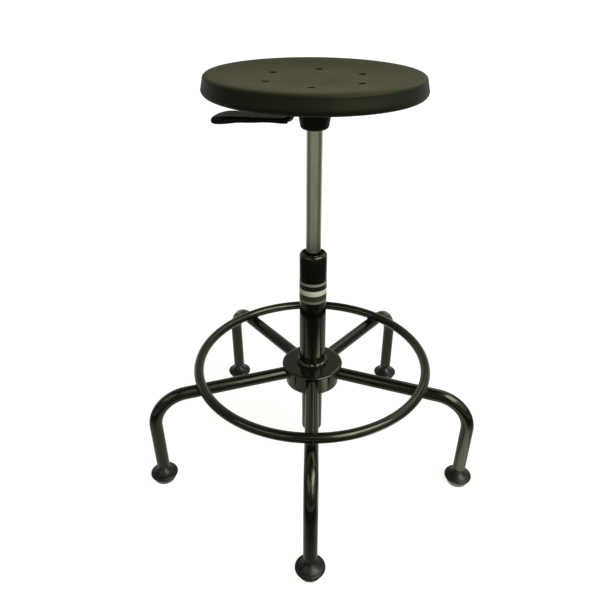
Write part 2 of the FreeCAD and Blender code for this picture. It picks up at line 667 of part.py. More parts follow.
def make_lever_arm():
    """Cranked flat arm with a pivot boss; its nose lies over the valve pin."""
    bend = ARM_BEND_RADIUS
    x0 = -LEVER_PIVOT_X
    top = ARM_TOP_AXIS
    low = ARM_LOW_AXIS
    diag = bend * (1 - math.sqrt(0.5))
    nose = V(ARM_NOSE, 0, top)
    upper_in = V(x0 + bend, 0, top)
    upper_mid = V(x0 + diag, 0, top - diag)
    upper_out = V(x0, 0, top - bend)
    lower_in = V(x0, 0, low + bend)
    lower_mid = V(x0 - diag, 0, low + diag)
    lower_out = V(x0 - bend, 0, low)
    end = V(x0 - ARM_GRIP_REACH, 0, low)
    path = Part.Wire([Part.makeLine(nose, upper_in), Part.Arc(upper_in, upper_mid, upper_out).toShape(),
                      Part.makeLine(upper_out, lower_in), Part.Arc(lower_in, lower_mid, lower_out).toShape(),
                      Part.makeLine(lower_out, end)])
    half = ARM_WIDTH / 2
    thick = ARM_THICKNESS / 2
    corners = [V(ARM_NOSE, -half, top - thick), V(ARM_NOSE, half, top - thick),
               V(ARM_NOSE, half, top + thick), V(ARM_NOSE, -half, top + thick)]
    section = Part.makePolygon(corners + [corners[0]])
    arm = path.makePipeShell([section], True, False)
    boss = Part.makeCylinder(BOSS_RADIUS, ARM_WIDTH, V(x0, -half, PIVOT_Z), V(0, 1, 0))
    bore = Part.makeCylinder(PIVOT_RADIUS + RUNNING_FIT, 3 * ARM_WIDTH, V(x0, -1.5 * ARM_WIDTH, PIVOT_Z), V(0, 1, 0))
    return arm.fuse(boss).cut(bore)


def grip_section(x, front, back, middle, thickness):
    """Rounded cross section of the lever's grip at one distance from the column."""
    corner = 0.42 * thickness
    y0, y1 = front, back
    z0, z1 = middle - thickness / 2, middle + thickness / 2
    s = corner * (1 - math.sqrt(0.5))
    edges = [Part.makeLine(V(x, y0 + corner, z0), V(x, y1 - corner, z0)),
             Part.Arc(V(x, y1 - corner, z0), V(x, y1 - s, z0 + s), V(x, y1, z0 + corner)).toShape(),
             Part.makeLine(V(x, y1, z0 + corner), V(x, y1, z1 - corner)),
             Part.Arc(V(x, y1, z1 - corner), V(x, y1 - s, z1 - s), V(x, y1 - corner, z1)).toShape(),
             Part.makeLine(V(x, y1 - corner, z1), V(x, y0 + corner, z1)),
             Part.Arc(V(x, y0 + corner, z1), V(x, y0 + s, z1 - s), V(x, y0, z1 - corner)).toShape(),
             Part.makeLine(V(x, y0, z1 - corner), V(x, y0, z0 + corner)),
             Part.Arc(V(x, y0, z0 + corner), V(x, y0 + s, z0 + s), V(x, y0 + corner, z0)).toShape()]
    return Part.Wire(edges)


def make_lever_grip(arm):
    """Moulded leaf-shaped grip over the arm's outer end."""
    inner = LEVER_PIVOT_X + ARM_BEND_RADIUS
    length = LEVER_REACH - inner
    # Share of the length, of the front and rear reach, of the lift and of the thickness
    stations = [(0.0, 0.64, 0.26, -0.06, 0.80), (0.05, 0.68, 0.30, -0.07, 0.88), (0.16, 0.68, 0.40, -0.02, 0.80),
                (0.38, 0.68, 0.75, 0.03, 0.80), (0.66, 0.74, 1.0, 0.07, 0.98), (0.80, 0.97, 0.92, 0.07, 1.20),
                (0.90, 1.0, 0.60, 0.02, 1.22), (0.97, 0.84, 0.22, -0.05, 1.0), (1.0, 0.66, -0.04, -0.08, 0.62)]
    sections = []
    for along, front, back, lift, thick in stations:
        sections.append(grip_section(-inner - along * length, -front * GRIP_FRONT, back * GRIP_BACK,
                                     ARM_LOW_AXIS + lift * GRIP_THICKNESS, thick * GRIP_THICKNESS))
    return Part.makeLoft(sections, True, False).cut(arm)


def make_pivot_pin():
    """Pivot pin through the housing's walls, with a head and a clip."""
    length = HOUSING_WIDTH + 4
    start = V(-LEVER_PIVOT_X, -length / 2, PIVOT_Z)
    axis = V(0, 1, 0)
    pin = Part.makeCylinder(PIVOT_RADIUS, length, start, axis)
    face = HOUSING_WIDTH / 2
    head = Part.makeCylinder(PIVOT_HEAD_RADIUS, PIVOT_HEAD_THICKNESS,
                             V(-LEVER_PIVOT_X, -face - PIVOT_HEAD_THICKNESS, PIVOT_Z), axis)
    tail = Part.makeCylinder(PIVOT_HEAD_RADIUS, PIVOT_HEAD_THICKNESS, V(-LEVER_PIVOT_X, face, PIVOT_Z), axis)
    return pin.fuse(head).fuse(tail)


LEG_NAMES = ["front", "right", "rear_right", "rear_left", "left"]


def build_base():
    """Everything that stands still."""
    bar = leg_tube(0.5 * COLUMN_RADIUS, LEG_DIAMETER / 2)
    leg = make_leg()
    plug = make_plug()
    glide = make_glide()
    weld = make_ring_weld(bar)
    plugs = []
    welds = []
    for number in range(LEG_COUNT):
        angle = FRONT_LEG_AZIMUTH + number * 360.0 / LEG_COUNT
        name = LEG_NAMES[number] if number < len(LEG_NAMES) else "extra_%d" % number
        export("leg_" + name, spin(leg, angle))
        export("glide_" + name, spin(glide, angle))
        plugs.append(spin(plug, angle))
        welds.append(spin(weld, angle))
    export("leg_plugs", plugs)
    export("ring_welds", welds)
    export("foot_ring", make_foot_ring())
    export("hub_collar", make_hub_collar())
    export("hub_cap", make_hub_cap())
    export("hub_floor", ring(HUB_RADIUS - HUB_WALL, TAIL_RADIUS, HUB_BOTTOM, HUB_BOTTOM + HUB_FLOOR_THICKNESS))
    export("column_weld", make_column_weld())
    export("column_tube", make_column_tube())
    export("column_label", ring(COLUMN_RADIUS + LABEL_THICKNESS, COLUMN_RADIUS,
                                LABEL_TOP - LABEL_HEIGHT, LABEL_TOP))
    export("guide_bush", make_guide_bush())
    export("column_floor", make_column_floor())
    export("lower_race", ring(RACE_OUTER_RADIUS, RACE_INNER_RADIUS, COLUMN_FLOOR_TOP, LOWER_RACE_TOP))
    export("ball_cage", make_ball_cage())
    export("thrust_balls", [Part.makeSphere(BALL_RADIUS, centre) for centre in ball_centres()])


def build_spindle():
    """The rod that turns with the seat but stays at its height."""
    export("upper_race", ring(RACE_OUTER_RADIUS, ROD_RADIUS, UPPER_RACE_BOTTOM, UPPER_RACE_TOP))
    export("piston_rod", make_piston_rod())
    export("retaining_clip", make_clip())
    export("piston", make_piston())
    export("bump_stop", make_bump_stop())


def build_seat():
    """Everything that rises and turns with the seat."""
    export("pressure_tube", make_pressure_tube())
    export("tube_plug", ring(TUBE_RADIUS - TUBE_WALL, ROD_RADIUS + RUNNING_FIT,
                             TUBE_BOTTOM, TUBE_BOTTOM + TUBE_PLUG_HEIGHT))
    export("valve_body", make_valve_body())
    export("taper_socket", make_taper_socket())
    export("socket_collar", make_socket_collar())
    export("release_housing", make_release_housing())
    export("seat_plate", make_seat_plate())
    export("seat_screws", [make_screw(x, y) for x, y in screw_places()])
    export("pivot_pin", make_pivot_pin())
    export("seat_board", make_seat_board())
    export("seat", make_seat())


def build_lever():
    """The release lever and the pin that it presses."""
    arm = make_lever_arm()
    export("lever_arm", arm)
    export("lever_grip", make_lever_grip(arm))
    export("valve_pin", make_valve_pin())


build_base()
build_spindle()
build_seat()
build_lever()
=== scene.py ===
"""Machinist stool: finishes, fine pieces, studio and camera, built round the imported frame."""

import json
import logging
from dataclasses import dataclass, field
from enum import Enum
from math import cos, pi, radians, sin, sqrt, tan, tau
from typing import Callable, Sequence

import bmesh
import bpy
from mathutils import Matrix, Vector


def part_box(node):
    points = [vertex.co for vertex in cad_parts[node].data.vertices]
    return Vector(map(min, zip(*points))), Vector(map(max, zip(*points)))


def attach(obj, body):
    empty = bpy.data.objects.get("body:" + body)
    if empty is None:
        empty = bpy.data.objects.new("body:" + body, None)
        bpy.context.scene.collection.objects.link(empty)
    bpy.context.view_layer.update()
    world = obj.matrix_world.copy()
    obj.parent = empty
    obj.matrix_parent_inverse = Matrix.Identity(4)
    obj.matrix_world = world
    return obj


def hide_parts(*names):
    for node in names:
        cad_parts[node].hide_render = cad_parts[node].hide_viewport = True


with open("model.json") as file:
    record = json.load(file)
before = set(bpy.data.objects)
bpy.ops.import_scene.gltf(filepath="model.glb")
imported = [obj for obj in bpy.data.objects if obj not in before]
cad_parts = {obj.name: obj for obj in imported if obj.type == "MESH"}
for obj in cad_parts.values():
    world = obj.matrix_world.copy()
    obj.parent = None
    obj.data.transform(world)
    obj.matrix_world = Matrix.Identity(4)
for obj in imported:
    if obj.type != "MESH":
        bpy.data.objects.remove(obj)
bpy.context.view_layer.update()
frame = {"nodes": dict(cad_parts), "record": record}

TURN_STEPS = 240
WIRE_SIDES = 12
WELD_CREASE = 60.0
SOFT_CREASE = 40.0

Triple = tuple[float, float, float]
Colour = Triple
Point = tuple[float, float]
Rise = tuple[float, float]  # middle and half width of a mask's soft edge
Ring = list[Vector]

ORIGIN: Point = (0.0, 0.0)
BLACK: Colour = (0.0, 0.0, 0.0)
WHITE: Colour = (1.0, 1.0, 1.0)

log = logging.getLogger("stool")


class Slot(Enum):
    """Finishes that the stool's pieces are made in."""

    ENAMEL = "black_enamel"
    GLIDE = "glide_plastic"
    PLASTIC = "black_plastic"
    LABEL = "label_film"
    ZINC = "zinc_steel"
    BEARING = "bearing_steel"
    RUBBER = "stop_rubber"
    TUBE = "bright_tube"
    BOARD = "seat_board_wood"
    SEAT = "seat_polyurethane"


class Body(Enum):
    """Bodies of the frame that new pieces ride on."""

    BASE = "base"
    SEAT = "seat"
    LEVER = "lever"


class Signal:
    """One shader socket. Arithmetic on it adds the Math nodes that it needs."""

    def __init__(self, paint: "Paint", socket: bpy.types.NodeSocket) -> None:
        """Wrap an output socket of a paint's tree."""
        self.paint = paint
        self.socket = socket

    def _maths(self, operation: str, first: object, second: object) -> "Signal":
        """Result of one Math node on two values or signals."""
        return self.paint.add("ShaderNodeMath", {"operation": operation}, {0: first, 1: second})

    def __add__(self, other: object) -> "Signal":
        """Sum."""
        return self._maths("ADD", self, other)

    __radd__ = __add__

    def __mul__(self, other: object) -> "Signal":
        """Product."""
        return self._maths("MULTIPLY", self, other)

    __rmul__ = __mul__

    def __sub__(self, other: object) -> "Signal":
        """Difference."""
        return self._maths("SUBTRACT", self, other)

    def __rsub__(self, other: object) -> "Signal":
        """Difference with the signal taken away."""
        return self._maths("SUBTRACT", other, self)

    def above(self, level: float, softness: float) -> "Signal":
        """Mask that rises from 0 to 1 round a level, with a softness of half the rise's width."""
        span = {"Value": self, "From Min": level - softness, "From Max": level + softness}
        return self.paint.add("ShaderNodeMapRange", {"interpolation_type": "SMOOTHSTEP"}, span)

    def between(self, low: float, high: float, softness: float) -> "Signal":
        """Mask that is 1 from low to high, with soft edges."""
        return self.above(low, softness) * (1 - self.above(high, softness))


class Paint:
    """Node tree of one material or of the world."""

    def __init__(self, owner: bpy.types.Material | bpy.types.World) -> None:
        """Start an empty tree.

        Args:
            owner: the material or the world that it belongs to.
        """
        owner.use_nodes = True
        self.owner = owner
        self.tree = owner.node_tree
        self.tree.nodes.clear()

    @classmethod
    def named(cls, name: str) -> "Paint":
        """Tree of a new material of that name."""
        return cls(bpy.data.materials.new(name))

    def add(self, kind: str, settings: dict, sockets: dict, output: int | str = 0) -> Signal:
        """Add one node.

        Args:
            kind: the node's type.
            settings: its properties, which are set first.
            sockets: values or signals for its inputs, by name or index.
            output: the output to hand back.

        Returns:
            The chosen output.
        """
        node = self.tree.nodes.new(kind)
        for name, value in settings.items():
            setattr(node, name, value)
        for name, value in sockets.items():
            if isinstance(value, Signal):
                self.tree.links.new(value.socket, node.inputs[name])
            else:
                node.inputs[name].default_value = value
        return Signal(self, node.outputs[output])

    def vector(self, operation: str, *terms: object, output: str = "Vector") -> Signal:
        """Result of one Vector Math node on vectors or signals, from its output of that name."""
        return self.add("ShaderNodeVectorMath", {"operation": operation}, dict(enumerate(terms)), output)

    def place(self, stretch: Triple = (1.0, 1.0, 1.0)) -> Signal:
        """Position on the object in metres, stretched along X, Y and Z."""
        spot = self.add("ShaderNodeTexCoord", {}, {}, "Object")
        return spot if stretch == (1.0, 1.0, 1.0) else self.vector("MULTIPLY", spot, stretch)

    def part(self, vector: Signal, axis: int) -> Signal:
        """One component of a vector, by its index."""
        return self.add("ShaderNodeSeparateXYZ", {}, {0: vector}, axis)

    def ray(self, kind: str) -> Signal:
        """1 for one kind of ray, as the Light Path node names it."""
        return self.add("ShaderNodeLightPath", {}, {}, f"Is {kind} Ray")

    def seen(self) -> Signal:
        """1 for the rays that look at the backdrop, straight or through glass."""
        rays = {0: self.ray("Camera"), 1: self.ray("Transmission")}
        return self.add("ShaderNodeMath", {"operation": "MAXIMUM"}, rays)

    def radius(self) -> Signal:
        """Distance from the column's axis in metres."""
        return self.vector("LENGTH", self.place((1.0, 1.0, 0.0)), output="Value")

    def noise(self, size: float, detail: float = 2.0, stretch: Triple = (1.0, 1.0, 1.0)) -> Signal:
        """Cloudy value from 0 to 1, with blots of a size in metres and octaves of finer detail."""
        sockets = {"Vector": self.place(stretch), "Scale": 1.0 / size, "Detail": detail, "Roughness": 0.55}
        return self.add("ShaderNodeTexNoise", {}, sockets)

    def cells(self, size: float, feature: str = "F1") -> Signal:
        """Distance to the centres of scattered cells of a size in metres."""
        sockets = {"Vector": self.place(), "Scale": 1.0 / size}
        return self.add("ShaderNodeTexVoronoi", {"feature": feature}, sockets, "Distance")

    def tint(self, mask: object, first: object, second: object) -> Signal:
        """First colour where the mask is 0 and second where it is 1."""
        sockets = {0: mask, 6: solid(first), 7: solid(second)}
        return self.add("ShaderNodeMix", {"data_type": "RGBA"}, sockets, 2)

    def grey(self, value: Signal) -> Signal:
        """A value as a grey colour."""
        return self.add("ShaderNodeCombineXYZ", {}, {0: value, 1: value, 2: value})

    def bump(self, height: Signal, depth: float, strength: float = 1.0) -> Signal:
        """Normal that follows a height from 0 to 1, with its depth in metres."""
        sockets = {"Strength": strength, "Distance": depth, "Height": height}
        return self.add("ShaderNodeBump", {}, sockets)

    def coat(self, sockets: dict) -> bpy.types.Material:
        """Finish the material with one Principled shader that has these inputs."""
        self.end("ShaderNodeOutputMaterial", self.add("ShaderNodeBsdfPrincipled", {}, sockets))
        return self.owner

    def end(self, kind: str, shader: Signal) -> None:
        """Link a shader to an output node of that type."""
        node = self.tree.nodes.new(kind)
        self.tree.links.new(shader.socket, node.inputs["Surface"])


def blend(first: object, second: object, mask: Signal) -> Signal:
    """First value where the mask is 0 and second where it is 1."""
    return first + (second - first) * mask


def solid(value: object) -> object:
    """A colour with its alpha, or a signal as it is."""
    return value if isinstance(value, Signal) else (*value, 1.0)


@dataclass(frozen=True)
class Enamel:
    """Glossy powder coat on the steel frame."""

    colour: Colour = (0.0030, 0.0032, 0.0022)
    dust_and_painted_top_light: Colour = (0.0044, 0.0047, 0.0032)
    gloss_tint: Colour = (1.0, 1.03, 0.80)
    gloss_level: float = 0.5
    roughness: float = 0.065
    mottle_size: float = 0.045
    mottle_dulls: float = 0.03
    scuff_size: float = 0.006
    scuff_dulls: float = 0.08
    peel_size: float = 0.0022
    peel_depth: float = 0.00004

    def make(self) -> bpy.types.Material:
        """Fine orange peel, faint cloudiness and a few dull scuffs.

        Returns:
            The material.
        """
        paint = Paint.named(Slot.ENAMEL.value)
        cloud = paint.noise(self.mottle_size, detail=3.0)
        scuff = paint.noise(self.scuff_size, detail=4.0, stretch=(1.0, 1.0, 0.35))
        scuff = scuff.above(0.70, softness=0.05)
        peel = paint.noise(self.peel_size, detail=1.0)
        return paint.coat({
            "Base Color": paint.tint(cloud.above(0.55, softness=0.30), self.colour, self.dust_and_painted_top_light),
            "Roughness": self.roughness + self.mottle_dulls * cloud + self.scuff_dulls * scuff,
            "Specular IOR Level": self.gloss_level,
            "Specular Tint": solid(self.gloss_tint),
            "Normal": paint.bump(peel, self.peel_depth, strength=0.15),
        })


@dataclass(frozen=True)
class Moulding:
    """Plain black moulded plastic."""

    slot: Slot
    colour: Colour
    roughness: float
    sheen: float
    flow_size: float = 0.018
    flow_dulls: float = 0.10
    flow_pales: float = 1.8
    grain_size: float = 0.0011
    grain_dulls: float = 0.06
    grain_depth: float = 0.00004

    def make(self) -> bpy.types.Material:
        """Fine spark-eroded grain with faint flow marks.

        Returns:
            The material.
        """
        paint = Paint.named(self.slot.value)
        flow = paint.noise(self.flow_size, stretch=(1.0, 1.0, 2.2))
        grain = paint.noise(self.grain_size)
        paler = tuple(self.flow_pales * channel for channel in self.colour)
        return paint.coat({
            "Base Color": paint.tint(flow.above(0.56, softness=0.22), self.colour, paler),
            "Roughness": self.roughness + self.flow_dulls * flow + self.grain_dulls * grain,
            "Specular IOR Level": self.sheen,
            "Normal": paint.bump(grain, self.grain_depth, strength=0.5),
        })


@dataclass(frozen=True)
class SeatSkin:
    """Self-skinned polyurethane of the seat, with painted light on its top and painted shade at its vent
    mouths.
    """

    vents: tuple[Point, ...]
    vent_reach: float
    vent_softness: float = 0.0012
    colour: Colour = (0.0045, 0.0049, 0.0032)
    # Paler top colour: painted top light with some dust in it.
    dust_and_painted_top_light: Colour = (0.0300, 0.0293, 0.0108)
    # Worn skin where people sit, paler still, carrying the same painted top light.
    worn_and_painted_top_light: Colour = (0.0350, 0.0340, 0.0138)
    sheen: float = 0.16
    sheen_tint: Colour = (1.0, 1.02, 0.66)
    roughness: float = 0.50
    cloud_size: float = 0.060
    cloud_dulls: float = 0.10
    least_top_light: float = 0.75
    sat_radius: float = 0.115
    sat_softness: float = 0.055
    sat_polishes: float = 0.07
    pebble_size: float = 0.0016
    fine_size: float = 0.0007
    fine_share: float = 0.4
    grain_depth: float = 0.00011

    def painted_top_light(self, paint: Paint) -> Signal:
        """Mask of painted top light on the faces that look up, left out at the vent mouths as painted
        shade.

        Args:
            paint: the tree that it is made in.

        Returns:
            The mask.
        """
        normal = paint.add("ShaderNodeNewGeometry", {}, {}, "Normal")
        mask = paint.part(normal, 2).above(0.70, softness=0.30)
        flat = paint.place((1.0, 1.0, 0.0))
        for x, y in self.vents:
            gap = paint.vector("DISTANCE", flat, (x, y, 0.0), output="Value")
            # The vent mouths keep the dark colour: painted shade round the holes.
            mask = mask * gap.above(self.vent_reach, self.vent_softness)
        return mask

    def make(self) -> bpy.types.Material:
        """Pebbled skin with painted light on top, some dust in clouds, painted shade at the vent mouths,
        paler and smoother where people sit.

        Returns:
            The material.
        """
        paint = Paint.named(Slot.SEAT.value)
        cloud = paint.noise(self.cloud_size, detail=3.0)
        pebble = paint.cells(self.pebble_size, "SMOOTH_F1")
        fine = paint.noise(self.fine_size)
        painted_top_light = self.painted_top_light(paint)
        rubbed = 1 - paint.radius().above(self.sat_radius, self.sat_softness)
        sat_on = rubbed * painted_top_light * cloud.above(0.48, softness=0.25)
        # Painted top light on the faces that look up, varied by the dust cloud.
        painted_top_light = painted_top_light * (self.least_top_light + (1 - self.least_top_light) * cloud)
        skin = paint.tint(painted_top_light, self.colour, self.dust_and_painted_top_light)
        return paint.coat({
            "Base Color": paint.tint(sat_on, skin, self.worn_and_painted_top_light),
            "Roughness": self.roughness + self.cloud_dulls * cloud - self.sat_polishes * sat_on,
            "Specular IOR Level": self.sheen,
            "Specular Tint": solid(self.sheen_tint),
            "Normal": paint.bump(pebble + self.fine_share * fine, self.grain_depth, strength=0.35),
        })


@dataclass(frozen=True)
class GroundTube:
    """Bright pressure tube, ground round and round."""

    colour: Colour = (0.366, 0.372, 0.302)
    oiled: Colour = (0.306, 0.312, 0.248)
    roughness: float = 0.07
    line_size: float = 0.00035
    line_dulls: float = 0.05
    line_depth: float = 0.000012
    film_size: float = 0.030
    film_dulls: float = 0.05

    def make(self) -> bpy.types.Material:
        """Fine grinding lines round the tube and a thin film of oil.

        Returns:
            The material.
        """
        paint = Paint.named(Slot.TUBE.value)
        lines = paint.noise(self.line_size, stretch=(0.02, 0.02, 1.0))
        film = paint.noise(self.film_size, detail=3.0, stretch=(1.0, 1.0, 0.30))
        return paint.coat({
            "Base Color": paint.tint(film.above(0.52, softness=0.22), self.colour, self.oiled),
            "Metallic": 1.0,
            "Roughness": self.roughness + self.line_dulls * lines + self.film_dulls * film,
            "Normal": paint.bump(lines, self.line_depth, strength=0.3),
        })


@dataclass(frozen=True)
class PlatedSteel:
    """Plated or ground steel of the fasteners and the bearing."""

    slot: Slot
    colour: Colour
    roughness: float
    spangle: float
    cell_share: float = 0.6
    darkest: float = 0.72
    haze_size: float = 0.012
    haze_dulls: float = 0.12
    haze_depth: float = 0.00003

    def make(self) -> bpy.types.Material:
        """Crystalline plating with darker cells.

        Returns:
            The material.
        """
        paint = Paint.named(self.slot.value)
        cell = paint.cells(self.spangle)
        haze = paint.noise(self.haze_size, detail=3.0)
        mask = self.cell_share * cell + (1 - self.cell_share) * haze
        darker = tuple(self.darkest * channel for channel in self.colour)
        return paint.coat({
            "Base Color": paint.tint(mask, self.colour, darker),
            "Metallic": 1.0,
            "Roughness": self.roughness + self.haze_dulls * haze,
            "Normal": paint.bump(haze, self.haze_depth, strength=0.3),
        })


@dataclass(frozen=True)
class LabelFilm:
    """Bare printed film round the column: plain bands and nothing else."""

    bottom: float
    top: float
    edge_width: float = 0.0052
    stripe_middle: float = 0.52
    stripe_width: float = 0.0105
    print_softness: float = 0.0004
    foot_drop: float = 0.3
    foot_softness: float = 0.0020
    ground: Colour = (0.0040, 0.0040, 0.0032)
    green: Colour = (0.0250, 0.0340, 0.0140)
    top_edge: Colour = (0.2100, 0.2150, 0.1950)
    low_edge: Colour = (0.1500, 0.1600, 0.1100)
    stripe: Colour = (0.5200, 0.5400, 0.4600)
    roughness: float = 0.32
    sheen: float = 0.35
    fibre_size: float = 0.0009
    fibre_dulls: float = 0.10
    fibre_depth: float = 0.00002

    def make(self) -> bpy.types.Material:
        """Pale edge lines, one plain pale stripe and a green foot.

        Returns:
            The material.
        """
        paint = Paint.named(Slot.LABEL.value)
        height = paint.part(paint.place(), 2)
        middle = self.bottom + self.stripe_middle * (self.top - self.bottom)
        half = self.stripe_width / 2
        soft = self.print_softness
        foot = 1 - height.above(middle - self.foot_drop * self.stripe_width, self.foot_softness)
        fibre = paint.noise(self.fibre_size, detail=3.0)
        colour = paint.tint(foot, self.ground, self.green)
        colour = paint.tint(height.between(middle - half, middle + half, soft), colour, self.stripe)
        colour = paint.tint(height.above(self.top - self.edge_width, soft), colour, self.top_edge)
        colour = paint.tint(1 - height.above(self.bottom + self.edge_width, soft), colour, self.low_edge)
        return paint.coat({
            "Base Color": colour,
            "Roughness": self.roughness + self.fibre_dulls * fibre,
            "Specular IOR Level": self.sheen,
            "Normal": paint.bump(fibre, self.fibre_depth, strength=0.3),
        })


@dataclass(frozen=True)
class Rubber:
    """Moulded rubber of the bump stop."""

    colour: Colour = (0.016, 0.016, 0.015)
    bloomed: Colour = (0.040, 0.040, 0.038)
    roughness: float = 0.70
    bloom_size: float = 0.008
    bloom_dulls: float = 0.15
    bloom_depth: float = 0.00008

    def make(self) -> bpy.types.Material:
        """Dull skin with a trace of bloom.

        Returns:
            The material.
        """
        paint = Paint.named(Slot.RUBBER.value)
        bloom = paint.noise(self.bloom_size, detail=4.0)
        return paint.coat({
            "Base Color": paint.tint(bloom.above(0.60, softness=0.15), self.colour, self.bloomed),
            "Roughness": self.roughness + self.bloom_dulls * bloom,
            "Normal": paint.bump(bloom, self.bloom_depth, strength=0.4),
        })


@dataclass(frozen=True)
class Plywood:
    """Board under the seat's skin."""

    pale: Colour = (0.430, 0.285, 0.150)
    dark: Colour = (0.235, 0.135, 0.060)
    roughness: float = 0.62
    grain_size: float = 0.0045
    grain_share: float = 0.7
    grain_depth: float = 0.00012
    pore_size: float = 0.0008
    pore_dulls: float = 0.12
    pore_height: float = 0.5

    def make(self) -> bpy.types.Material:
        """Long grain along X with pores.

        Returns:
            The material.
        """
        paint = Paint.named(Slot.BOARD.value)
        grain = paint.noise(self.grain_size, detail=4.0, stretch=(0.07, 1.0, 1.0))
        pores = paint.noise(self.pore_size, stretch=(0.06, 1.0, 1.0))
        mask = self.grain_share * grain.above(0.5, softness=0.2) + (1 - self.grain_share) * pores
        return paint.coat({
            "Base Color": paint.tint(mask, self.pale, self.dark),
            "Roughness": self.roughness + self.pore_dulls * pores,
            "Normal": paint.bump(grain + self.pore_height * pores, self.grain_depth, strength=0.5),
        })


@dataclass
class Form:
    """A mesh that is being made: points and faces."""

    points: list[Vector] = field(default_factory=list)
    faces: list[tuple[int, ...]] = field(default_factory=list)

    def skin(self, rings: Sequence[Ring], loop: bool = False) -> "Form":
        """Skin a row of rings of equal length.

        Args:
            rings: rings of points, in order.
            loop: join the last ring to the first.

        Returns:
            The form itself.
        """
        start = len(self.points)
        count = len(rings[0])
        for ring in rings:
            self.points.extend(ring)
        for row in range(len(rings) if loop else len(rings) - 1):
            near = start + row * count
            far = start + ((row + 1) % len(rings)) * count
            for side in range(count):
                after = (side + 1) % count
                self.faces.append((near + side, near + after, far + after, far + side))
        return self

    def bar(self, rings: Sequence[Ring]) -> "Form":
        """Skin a row of rings and close both its ends.

        Args:
            rings: rings of points, in order.

        Returns:
            The form itself.
        """
        first = len(self.points)
        self.skin(rings)
        last = len(self.points) - len(rings[-1])
        self.faces.append(tuple(range(first, first + len(rings[0])))[::-1])
        self.faces.append(tuple(range(last, len(self.points))))
        return self

    def turned(self, profile: Sequence[Point], steps: int, places: Sequence[Point] = (ORIGIN,)) -> "Form":
        """Revolve a profile of (radius, height) points about upright axes.

        Args:
            profile: the profile, from one end to the other; points at radius 0 close it.
            steps: faces in one turn.
            places: where the axes stand.

        Returns:
            The form itself.
        """
        angles = turn_angles(steps)
        for x, y in places:
            axis = Vector((x, y, 0.0))
            self.skin([[polar(r, angle, z) + axis for angle in angles] for r, z in profile])
        return self

    def object(self, name: str, crease: float = 35.0) -> bpy.types.Object:
        """Make the object, with doubled points joined and its normals outward.

        Args:
            name: the object's name.
            crease: angle in degrees above which an edge stays sharp.

        Returns:
            The object.
        """
        mesh = bpy.data.meshes.new(name)
        mesh.from_pydata([tuple(point) for point in self.points], [], self.faces)
        shape = bmesh.new()
        shape.from_mesh(mesh)
        bmesh.ops.remove_doubles(shape, verts=shape.verts, dist=1e-6)
        bmesh.ops.dissolve_degenerate(shape, edges=shape.edges, dist=1e-7)
        bmesh.ops.recalc_face_normals(shape, faces=shape.faces)
        shape.to_mesh(mesh)
        shape.free()
        smooth(mesh, crease)
        piece = bpy.data.objects.new(name, mesh)
        bpy.context.scene.collection.objects.link(piece)
        return piece


def turn_angles(steps: int) -> list[float]:
    """Angles of the steps of one full turn, in radians."""
    return [tau * step / steps for step in range(steps)]


def azimuth_turn(azimuth: float) -> Matrix:
    """Turn about the column's axis, by an angle in degrees."""
    return Matrix.Rotation(radians(azimuth), 3, "Z")


def torch_ripple(depth: float, passes: float) -> float:
    """Swell of a bead, with one rounded step for each pass of the torch."""
    return 1 - depth + depth * abs(sin(pi * passes))


def polar(radius: float, angle: float, height: float) -> Vector:
    """Point at a radius and height, turned about the column's axis by an angle in radians."""
    return Vector((radius * cos(angle), radius * sin(angle), height))


def column_face(bite: float) -> float:
    """Radius where a piece round the column begins, a little inside the column's skin."""
    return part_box("column_tube")[1].x - bite


def smooth(mesh: bpy.types.Mesh, crease: float) -> None:
    """Shade a mesh smooth except at edges above an angle in degrees."""
    mesh.shade_smooth()
    mesh.set_sharp_from_angle(angle=radians(crease))


def bow(centre: Point, radii: Point, start: float, end: float, steps: int) -> list[Point]:
    """Points on a stretch of an ellipse, from one angle in degrees to another."""
    angles = [radians(start + (end - start) * step / steps) for step in range(steps + 1)]
    return [(centre[0] + radii[0] * cos(a), centre[1] + radii[1] * sin(a)) for a in angles]


def pipe_rings(path: Sequence[Vector], radius: Callable[[float], float], loop: bool = False) -> list[Ring]:
    """Round sections along a path.

    Args:
        path: points of the path.
        radius: the section's radius at each distance along the path.
        loop: whether the path closes on itself.

    Returns:
        One ring of points for each point of the path.
    """
    angles = turn_angles(WIRE_SIDES)
    count = len(path)
    rings = []
    travelled = 0.0
    side = None
    for number, point in enumerate(path):
        before = path[(number - 1) % count] if loop or number else point
        after = path[(number + 1) % count] if loop or number < count - 1 else point
        along = (after - before).normalized()
        if side is None:
            side = along.orthogonal().normalized()
        side = (side - along * side.dot(along)).normalized()
        up = along.cross(side)
        size = radius(travelled)
        rings.append([point + (side * cos(a) + up * sin(a)) * size for a in angles])
        travelled += (path[(number + 1) % count] - point).length
    return rings


def carve(piece: bpy.types.Object, cutter: bpy.types.Object, crease: float) -> None:
    """Cut one object's shape out of another, and delete the cutter.

    Args:
        piece: the object that is cut.
        cutter: the object that is taken away.
        crease: angle in degrees above which an edge stays sharp.
    """
    cut = piece.modifiers.new("cut", "BOOLEAN")
    cut.operation = "DIFFERENCE"
    cut.solver = "EXACT"
    cut.object = cutter
    bpy.context.view_layer.update()
    result = bpy.data.meshes.new_from_object(piece.evaluated_get(bpy.context.evaluated_depsgraph_get()))
    piece.modifiers.clear()
    piece.data = result
    bpy.data.objects.remove(cutter)
    smooth(result, crease)


